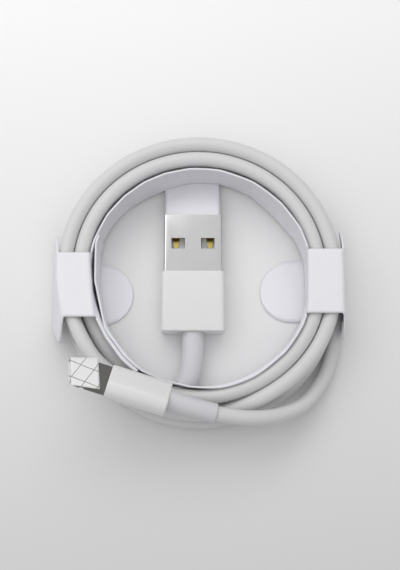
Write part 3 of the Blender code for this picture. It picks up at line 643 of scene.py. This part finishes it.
def cover_rings(size, corner, edge, wall, opening, hole):
    """Rings of a hollow moulded cover: over its outside, in at the mouth and back inside."""
    width, height, depth = size
    steps = 5
    rings = [(-depth + wall, rounded_rectangle(2 * hole, 2 * hole, hole))]
    rings.append((-depth, rounded_rectangle(2 * hole, 2 * hole, hole)))
    rounding = [math.pi / 2 * step / steps for step in range(steps + 1)]
    for angle in rounding:
        inset = edge * (1 - math.sin(angle))
        outline = rounded_rectangle(width - 2 * inset, height - 2 * inset, corner - inset)
        rings.append((-depth + edge * (1 - math.cos(angle)), outline))
    for angle in reversed(rounding):
        inset = edge * (1 - math.sin(angle))
        outline = rounded_rectangle(width - 2 * inset, height - 2 * inset, corner - inset)
        rings.append((-edge * (1 - math.cos(angle)), outline))
    rings.append((0.0, rounded_rectangle(*opening)))
    rings.append((-wall, rounded_rectangle(*opening)))
    return rings


def dress(names, material, angle=math.radians(35)):
    """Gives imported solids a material, and smooth shading over their facets."""
    for name in names:
        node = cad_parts[name]
        node.data.materials.clear()
        node.data.materials.append(material)
        if "custom_normal" in node.data.attributes:
            node.data.attributes.remove(node.data.attributes["custom_normal"])
        node.data.shade_smooth()
        weld = node.modifiers.new("joined facets", "WELD")
        weld.merge_threshold = 0.001 * MM
        split = node.modifiers.new("sharp edges", "EDGE_SPLIT")
        split.split_angle = angle


def make_wires(prefix):
    colours = {
        "red": (rgb(0.55, 0.04, 0.03), rgb(0.48, 0.03, 0.03)),
        "white": (grey(0.80), grey(0.74)),
        "green": (rgb(0.05, 0.35, 0.10), rgb(0.04, 0.29, 0.08)),
        "black": (grey(0.03), grey(0.02)),
    }
    for colour, (light, dark) in colours.items():
        material = moulded_plastic(f"{prefix} {colour} wire", light, dark, 0.45)
        dress([f"{prefix}_{colour}_wire"], material)


def make_host_plug(look):
    white = moulded_plastic("host cover", grey(look.plastic_tone), grey(look.plastic_tone * 0.97), 0.36)
    rings = cover_rings(HOST_SIZE, HOST_CORNER, HOST_EDGE, HOST_WALL, SHELL_OPENING, HOST_HOLE)
    placed = [[HOST_PLACE + Vector((x, depth, z)) for x, z in outline] for depth, outline in rings]
    cover = add_piece("host_cover", loft(placed, closed=True), white)
    smooth(cover)
    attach(cover, "cable")
    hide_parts("host_housing")
    dress(["host_shell"], brushed_metal("host shell", grey(0.68), grey(0.60), 0.2, (1, 0.04, 1)))
    # Painted light: the tongue's tone is raised above the covers' to lighten it where it lies in shade
    # inside the shell; the wire carrier shares this material
    tint = (0.99, 0.98, 1.0)
    tongue_with_painted_light = moulded_plastic("host tongue", grey(0.9, tint), grey(0.86, tint), 0.5)
    dress(["host_tongue", "host_wire_carrier"], tongue_with_painted_light)
    gold = brushed_metal("host contacts", rgb(0.72, 0.58, 0.20), rgb(0.50, 0.39, 0.11), 0.22, (1, 0.1, 1))
    dress([f"host_contact_{number}" for number in range(1, 5)], gold)
    dress(["host_crimp_ferrule"], brushed_metal("host crimp", grey(0.62), grey(0.52), 0.4, (1, 0.1, 1)))
    make_wires("host")


def make_tip_plug(look):
    white = moulded_plastic("tip cover", grey(look.plastic_tone), grey(look.plastic_tone * 0.97), 0.3)
    rings = cover_rings(TIP_SIZE, TIP_CORNER, TIP_EDGE, TIP_WALL, BLADE_OPENING, TIP_HOLE)
    place = tip_matrix()
    placed = [[place @ Vector((depth, y, z)) for y, z in outline] for depth, outline in rings]
    cover = add_piece("tip_cover", loft(placed, closed=True), white)
    smooth(cover)
    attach(cover, "cable")
    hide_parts("tip_housing")
    tint = (1, 0.98, 0.93)
    dress(["tip_blade"], brushed_metal("tip blade", grey(0.20, tint), grey(0.15, tint), 0.36, (0.2, 1, 1)))
    light, dark = grey(0.72, (1, 0.99, 0.95)), grey(0.66, (1, 0.99, 0.94))
    dress(["tip_insulator"], moulded_plastic("tip insulator", light, dark, 0.5))
    gold = brushed_metal("tip contacts", rgb(0.72, 0.58, 0.20), rgb(0.50, 0.39, 0.11), 0.22, (0.2, 1, 1))
    dress([f"tip_{face}_contact_{n}" for face in ("top", "bottom") for n in range(1, 9)], gold)
    board = moulded_plastic("tip board", rgb(0.05, 0.24, 0.10), rgb(0.03, 0.17, 0.07), 0.4)
    dress(["tip_circuit_board"], board)
    dress(["tip_control_chip"], moulded_plastic("tip chip", grey(0.035), grey(0.025), 0.55))
    dress(["tip_crimp_ferrule"], brushed_metal("tip crimp", grey(0.62), grey(0.52), 0.4, (0.1, 1, 1)))
    make_wires("tip")


def make_film(look):
    """The film folded round the blade, with its upper leaf wider than its lower one."""
    half, gap = BLADE_WIDTH / 2, BLADE_SHEET / 2 + GAP
    place = tip_matrix()
    leaf, bend = 8, 10
    last = 2 * leaf + bend

    def section(step, folded_y, lower_y, upper_y):
        middle = folded_y + gap
        if step < leaf:
            return lower_y + (middle - lower_y) * step / leaf, -gap
        if step > leaf + bend:
            return upper_y + (middle - upper_y) * (last - step) / leaf, gap
        angle = -math.pi / 2 - math.pi * (step - leaf) / bend
        return middle + gap * math.cos(angle), gap * math.sin(angle)

    def fold(along, round_blade):
        overhang = FILM_OVERHANG_BACK + (FILM_OVERHANG_FRONT - FILM_OVERHANG_BACK) * along
        past = FILM_OPEN_BACK + (FILM_OPEN_FRONT - FILM_OPEN_BACK) * along
        step = round(round_blade * last)
        y, z = section(step, -half - overhang, half - FILM_SHORT, half + past)
        x = FILM_BACK_X + (FILM_FRONT_X - FILM_BACK_X) * along - FILM_SKEW * y / BLADE_WIDTH
        return place @ Vector((x, y, z))

    material = thin_film("film", grey(look.film_tone), grey(look.film_tone * 0.25))
    film = add_piece("film_sleeve", sheet(12, last, fold), material)
    thicken(film, FILM)
    smooth(film)
    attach(film, "film")
    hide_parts("tip_film")


def overlap_depth(angle):
    """The strip runs once round and a fifth: how far its first end stands inside its last."""
    parted = ease((angle - OVERLAP_START) / (OVERLAP_PARTED - OVERLAP_START))
    joined = ease((angle - OVERLAP_END) / (OVERLAP_JOINED - OVERLAP_END))
    return (LAYER_GAP + (OVERLAP_DEPTH - LAYER_GAP) * parted) * (1 - joined)


def facet_dip(angle):
    """The card bends in short flats, so the wall comes in a little between its faint creases."""
    share = (angle / FACET + 0.3 * math.sin(3 * angle)) % 1.0
    return FACET_DIP * 4 * share * (1 - share)


def rim_radius(angle):
    """The rim, round but for the straight folds under the straps and where it leans out over the turns."""
    depth = overlap_depth(angle)
    rises = ease((angle - LEAN_START) / (LEAN_FULL - LEAN_START))
    falls = ease((angle - LEAN_FADES) / (LEAN_GONE - LEAN_FADES))
    loose = ease((angle - END_LEAN_START) / (STRIP_END - END_LEAN_START))
    radius = RING_RADIUS - depth + RIM_LEAN * rises * (1 - falls) + END_LEAN * loose - facet_dip(angle)
    flats = INNER_FLATS if depth > 0 else [strap.fold for strap in STRAPS.values()]
    for middle, distance in flats:
        facing = math.cos(angle - middle)
        if facing > FLAT_REACH:
            radius = min(radius, distance / facing)
    return radius


def wall_point(angle, height):
    """A point of the ring's wall, which stands inside the turns up to its rim."""
    up = (height - RING_FOOT) / (STRAP_Z - RING_FOOT)
    rim = rim_radius(angle)
    turns = INNER_TURN - pressed_in(angle, PRESSES) - CABLE_RADIUS
    room = turns - GAP - CARD / 2 - min(overlap_depth(angle), LAYER_GAP)
    upright = min(rim, room)
    radius = upright - pressed_in(angle, FOOT_DENTS) * (1 - up) + (rim - upright) * up**LEAN_POWER
    return around(angle, radius, height)


def wall_foot(angle):
    """The wall's lower edge, which arches over the host plug's cable."""
    point = wall_point(angle, RING_FOOT)
    offset = abs(point.x - NOTCH_X)
    radius = NOTCH_WIDTH / 2
    if point.y > 0 or offset > radius:
        return RING_FOOT
    return NOTCH_HEIGHT - radius + math.sqrt(radius**2 - offset**2)


def wall_top(angle):
    """The wall's upper edge: it wavers a little, and under a strap it stops where the fold begins."""
    point = wall_point(angle, STRAP_Z)
    for strap in STRAPS.values():
        under = abs(point.y - strap.middle_y) < STRAP_WIDTH / 2
        if under and point.x * strap.side() > 0 and overlap_depth(angle) == 0:
            return STRAP_Z - FOLD_DEPTH
    return STRAP_Z - RIM_WAVER * (1 + math.sin(5 * angle) * math.sin(7 * angle + 1))


def make_wall(material):
    def wall(along, up):
        angle = OVERLAP_START + (STRIP_END - OVERLAP_START) * along
        foot = wall_foot(angle)
        return wall_point(angle, foot + (wall_top(angle) - foot) * up)

    strip = add_piece("card_wall", sheet(428, 14, wall), material)
    thicken(strip, CARD)
    smooth(strip)
    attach(strip, "cable")
    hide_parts("card_ring")


def make_plug_tab(material):
    """The card tongue that rises from the wall's foot into the host plug's mouth."""
    first, last = PLUG_TAB_ROOT

    def tongue(along, across):
        root = wall_point(first + (last - first) * across, RING_FOOT + CARD)
        x = HOST_PLACE.x + PLUG_TAB_WIDTH * (across - 0.5)
        point = root.lerp(Vector((x, MOUTH_Y - PLUG_TAB_DEPTH, root.z)), along)
        point.z += (PLUG_TAB_RISE - root.z) * min(1.0, along / PLUG_TAB_RAMP)
        return point

    tab = add_piece("card_plug_tab", sheet(20, 16, tongue), material)
    thicken(tab, CARD)
    smooth(tab)
    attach(tab, "cable")


def folded_line(corners, radii):
    """Points along a folded sheet, seen on edge: straight panels, with each fold between them rounded."""
    line = []
    start = corners[0]
    for before, corner, after, radius in zip(corners, corners[1:], corners[2:], radii):
        to_before, to_after = (before - corner).normalized(), (after - corner).normalized()
        half = to_before.angle(to_after) / 2
        middle = corner + (to_before + to_after).normalized() * (radius / math.sin(half))
        run = radius / math.tan(half)
        first, last = corner + to_before * run, corner + to_after * run
        line += [start.lerp(first, step / PANEL_STEPS) for step in range(PANEL_STEPS)]
        for step in range(FOLD_STEPS):
            line.append(middle + (first - middle).slerp(last - middle, step / FOLD_STEPS) * radius)
        start = last
    line += [start.lerp(corners[-1], step / PANEL_STEPS) for step in range(PANEL_STEPS + 1)]
    return line


def make_strap(side_name, material):
    """A strap over the coil: from its fold on the ring, over the outer turn and down the winged flap."""
    strap = STRAPS[side_name]
    south_bend, north_bend = strap.wing_bend

    def corners(across):
        y = strap.middle_y + STRAP_WIDTH * (across - 0.5)
        fold = Vector((strap.fold_x(y), 0, STRAP_Z))
        angle = 1.5 * math.pi + (math.atan2(y, fold.x) + math.pi / 2) % (2 * math.pi)
        rim = wall_point(angle, STRAP_Z - FOLD_DEPTH)
        crease = Vector((strap.bend_x(across), 0, STRAP_Z))
        return [Vector((rim.x, 0, rim.z)), fold, crease, Vector((strap.foot_x, 0, CARD))]

    def place(along, across):
        crease, foot = corners(across)[2:]
        line = folded_line(corners(across), [INNER_FOLD, FLAP_FOLD])
        point = line[round(along * (len(line) - 1))].copy()
        down = foot - crease
        share = min(max((point - crease).dot(down) / down.length_squared, 0.0), 1.0)
        wing = WING * math.sin(math.pi * share) ** WING_POWER
        past = 2 * abs(across - 0.5) * (STRAP_WIDTH / 2 + wing) - STRAP_WIDTH / 2
        bend = north_bend if across > 0.5 else south_bend
        point.x -= strap.side() * bend * max(0.0, past / WING) ** 2
        point.y = strap.middle_y + (STRAP_WIDTH + 2 * wing) * (across - 0.5)
        return point

    count = 3 * PANEL_STEPS + 2 * FOLD_STEPS
    piece = add_piece(f"{side_name}_strap", sheet(count, 24, place), material)
    thicken(piece, CARD)
    smooth(piece)
    hinge = Vector((strap.hinge_x, strap.middle_y, STRAP_Z))
    start = hinge - Vector((strap.side() * FLAP_FOLD, 0, 0))
    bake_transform(piece)
    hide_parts(f"{side_name}_outer_flap")


def make_foot(side_name, material):
    """The strap's end, folded in under the coil, with a round end that lifts a little inside the ring."""
    strap = STRAPS[side_name]
    side = strap.side()
    crease, tip = Vector((strap.foot_x, 0, CARD / 2)), Vector((strap.end_x, 0, CARD / 2))
    top = crease.lerp(Vector((strap.hinge_x, 0, STRAP_Z)), FOOT_HEM)
    line = folded_line([top, crease, tip], [FOOT_FOLD])
    radius = STRAP_WIDTH / 2
    middle_x = strap.end_x + side * radius
    lift_x = RING_RADIUS - TAB_LIFT_INSET

    def place(along, across):
        point = line[round(along * (len(line) - 1))].copy()
        past = max(0.0, (middle_x - point.x) * side / radius)
        share = math.sin(math.pi / 2 * past)
        if past > 0:
            point.x = middle_x - side * radius * share
        half = radius * math.sqrt(max(0.0, 1 - share**2))
        inward = (point.x - strap.foot_x) / (strap.end_x - strap.foot_x)
        inside = max(0.0, (lift_x - abs(point.x)) / (lift_x - abs(strap.end_x)))
        point.y = strap.middle_y + (strap.end_y - strap.middle_y) * inward + 2 * half * (across - 0.5)
        point.z += TAB_LIFT * inside**2
        return point

    piece = add_piece(f"{side_name}_foot", sheet(len(line) - 1, 12, place), material)
    thicken(piece, CARD)
    smooth(piece)
    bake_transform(piece)
    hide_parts(f"{side_name}_floor_tab")


def make_card(look):
    tint = (0.985, 0.98, 1.03)
    light, dark = grey(look.card_tone, tint), grey(look.card_tone * 0.94, tint)
    material = uncoated_card("card", light, dark)
    make_wall(material)
    make_plug_tab(material)
    for side_name in STRAPS:
        make_strap(side_name, material)
        make_foot(side_name, material)


def add_area_light(name, place, size, power):
    """A softbox that faces the middle of the object."""
    light = bpy.data.lights.new(name, "AREA")
    light.shape = "RECTANGLE"
    light.size, light.size_y = size
    light.energy = power
    lamp = bpy.data.objects.new(name, light)
    bpy.context.scene.collection.objects.link(lamp)
    lamp.location = place
    lamp.rotation_euler = (-Vector(place)).to_track_quat("-Z", "Y").to_euler()
    lamp.visible_camera = False


def make_camera():
    camera = bpy.data.cameras.new("camera")
    camera.lens = CAMERA_LENS
    camera.clip_start = 0.01
    holder = bpy.data.objects.new("camera", camera)
    bpy.context.scene.collection.objects.link(holder)
    holder.location = CAMERA_PLACE
    holder.rotation_euler = CAMERA_FORWARD.to_track_quat("-Z", "Y").to_euler()
    bpy.context.scene.camera = holder


def make_floor(look):
    """A wide sheet of matt white paper under the object, with painted light in its colour: paler towards
    the back and darker towards the front, standing in for the falloff of the light behind.
    """
    shader = Shader(bpy.data.materials.new("floor"))
    grain = shader.noise(1500, 3)
    cloud = shader.noise(9, 2)
    # Painted light: the paper's tone rises from front to back, standing in for the falloff of the softbox
    # behind
    back = shader.maths("MINIMUM", shader.maths("MAXIMUM", 0.5 + shader.axis(1) / PAINTED_FALLOFF_SPAN, 0.0), 1.0)
    tone, painted_falloff = look.floor_tone, look.floor_painted_falloff
    paper = shader.mix(back, grey(tone * (1 - painted_falloff)), grey(tone * (1 + painted_falloff)))
    material = shader.finish(
        Base_Color=shader.mix(cloud * 0.2, paper, grey(tone)),
        Roughness=0.8 + (grain - 0.5) * 0.1,
        Specular_IOR_Level=0.15,
    )
    floor = sheet(2, 2, lambda u, v: Vector(((u - 0.5) * FLOOR_REACH, (v - 0.5) * FLOOR_REACH, FLOOR_Z)))
    holder = bpy.data.objects.new("floor", floor)
    bpy.context.scene.collection.objects.link(holder)
    floor.materials.append(material)


def make_world(look):
    """Soft light all round, brightest overhead and a little brighter behind, with a pale backdrop."""
    world = bpy.data.worlds.new("studio")
    bpy.context.scene.world = world
    shader = Shader(world, "Background")
    way = shader.node("ShaderNodeTexCoord", {}, {}).outputs["Generated"]
    parts = shader.node("ShaderNodeSeparateXYZ", {}, {0: way}).outputs
    east, north, up = (Number(shader, part) for part in parts)
    bright = SKY_LOW + up**2 * SKY_RISE + north * look.fill_back - east * look.fill_left
    dim = shader.node("ShaderNodeBackground", {}, {"Color": grey(1.0), "Strength": 0.0})
    full = shader.node("ShaderNodeBackground", {}, {"Color": grey(1.0), "Strength": 2 * look.fill_strength})
    sky = shader.node("ShaderNodeMixShader", {}, {0: bright, 1: dim.outputs[0], 2: full.outputs[0]})
    rays = shader.node("ShaderNodeLightPath", {}, {}).outputs
    mirrored = shader.maths("MAXIMUM", rays["Is Glossy Ray"], rays["Is Transmission Ray"])
    seen = shader.maths("MAXIMUM", rays["Is Camera Ray"], mirrored)
    shader.finish(Color=grey(look.floor_tone), Strength=1.0)
    backdrop = shader.surface.outputs[0]
    both = shader.node("ShaderNodeMixShader", {}, {0: seen, 1: sky.outputs[0], 2: backdrop})
    shader.put(shader.tree.nodes["World Output"], {"Surface": both.outputs[0]})


def make_stage(look):
    view = bpy.context.scene.view_settings
    view.view_transform = "Standard"
    make_camera()
    make_floor(look)
    make_world(look)
    add_area_light("back softbox", BACK_SOFTBOX_PLACE, BACK_SOFTBOX_SIZE, look.key_power)
    add_area_light("left softbox", LEFT_SOFTBOX_PLACE, LEFT_SOFTBOX_SIZE, look.side_power)


class CableLook(bpy.types.PropertyGroup):
    """Sizes, tones and light levels that the operators read."""

    cable_diameter: FloatProperty(
        name="Cable diameter", description="Outside diameter of the jacket", default=0.003, unit="LENGTH"
    )
    cable_tone: FloatProperty(name="Cable tone", description="Brightness of the jacket", default=0.66)
    relief_tone: FloatProperty(name="Sleeve tone", description="Brightness of the sleeves", default=0.63)
    plastic_tone: FloatProperty(name="Plastic tone", description="Brightness of both covers", default=0.74)
    card_tone: FloatProperty(name="Card tone", description="Brightness of the card", default=0.84)
    film_tone: FloatProperty(name="Film tone", description="Brightness of the film", default=0.82)
    floor_tone: FloatProperty(name="Floor tone", description="Brightness of the paper floor", default=0.78)
    # How far the floor's painted light falloff shifts its tone
    floor_painted_falloff: FloatProperty(name="Floor change", description="How far its tone shifts", default=0.17)
    key_power: FloatProperty(
        name="Key light", description="Power of the softbox behind", default=0.17, unit="POWER"
    )
    side_power: FloatProperty(
        name="Side light", description="Power of the left softbox", default=0.03, unit="POWER"
    )
    fill_strength: FloatProperty(name="Fill", description="Strength of the light all round", default=0.62)
    fill_back: FloatProperty(
        name="Fill behind", description="How far the fill leans to the back", default=0.05
    )
    fill_left: FloatProperty(
        name="Fill at left", description="How far the fill leans to the left", default=0.03
    )


class LookOperator:
    """What every operator here shares: it makes its pieces from the scene's settings."""

    bl_options = {"REGISTER", "UNDO"}

    def execute(self, context):
        self.make(context.scene.cable_look)
        return {"FINISHED"}


class CABLE_OT_stage(LookOperator, bpy.types.Operator):
    """Make the camera, the floor and the lights"""

    bl_idname = "cable.stage"
    bl_label = "Stage"

    def make(self, look):
        make_stage(look)


class CABLE_OT_cord(LookOperator, bpy.types.Operator):
    """Make the cable, wound as its solids are"""

    bl_idname = "cable.cord"
    bl_label = "Cable"

    def make(self, look):
        make_cord(look)


class CABLE_OT_reliefs(LookOperator, bpy.types.Operator):
    """Make the sleeve at either end of the cable"""

    bl_idname = "cable.reliefs"
    bl_label = "Strain reliefs"

    def make(self, look):
        make_reliefs(look)


class CABLE_OT_host_plug(LookOperator, bpy.types.Operator):
    """Make the type-A plug's cover and finish its metal and inner pieces"""

    bl_idname = "cable.host_plug"
    bl_label = "Host plug"

    def make(self, look):
        make_host_plug(look)


class CABLE_OT_tip_plug(LookOperator, bpy.types.Operator):
    """Make the tip plug's cover and finish its blade and inner pieces"""

    bl_idname = "cable.tip_plug"
    bl_label = "Tip plug"

    def make(self, look):
        make_tip_plug(look)


class CABLE_OT_film(LookOperator, bpy.types.Operator):
    """Make the film that is folded round the blade"""

    bl_idname = "cable.film"
    bl_label = "Film"

    def make(self, look):
        make_film(look)


class CABLE_OT_card(LookOperator, bpy.types.Operator):
    """Make the card ring, its straps and its tabs"""

    bl_idname = "cable.card"
    bl_label = "Card retainer"

    def make(self, look):
        make_card(look)


class CABLE_PT_panel(bpy.types.Panel):
    """The settings and the operators, in the order that they run"""

    bl_label = "Charging cable"
    bl_space_type = "VIEW_3D"
    bl_region_type = "UI"
    bl_category = "Cable"

    def draw(self, context):
        look = context.scene.cable_look
        for name in CableLook.__annotations__:
            self.layout.prop(look, name)
        for operator in OPERATORS:
            self.layout.operator(operator.bl_idname)


OPERATORS = (
    CABLE_OT_stage,
    CABLE_OT_cord,
    CABLE_OT_reliefs,
    CABLE_OT_host_plug,
    CABLE_OT_tip_plug,
    CABLE_OT_film,
    CABLE_OT_card,
)
CLASSES = (CableLook, *OPERATORS, CABLE_PT_panel)


def register():
    for each in CLASSES:
        bpy.utils.register_class(each)
    bpy.types.Scene.cable_look = PointerProperty(type=CableLook)


def unregister():
    del bpy.types.Scene.cable_look
    for each in reversed(CLASSES):
        bpy.utils.unregister_class(each)


def main():
    register()
    bpy.ops.cable.stage()
    bpy.ops.cable.cord()
    bpy.ops.cable.reliefs()
    bpy.ops.cable.host_plug()
    bpy.ops.cable.tip_plug()
    bpy.ops.cable.film()
    bpy.ops.cable.card()


if __name__ == "__main__":
    main()
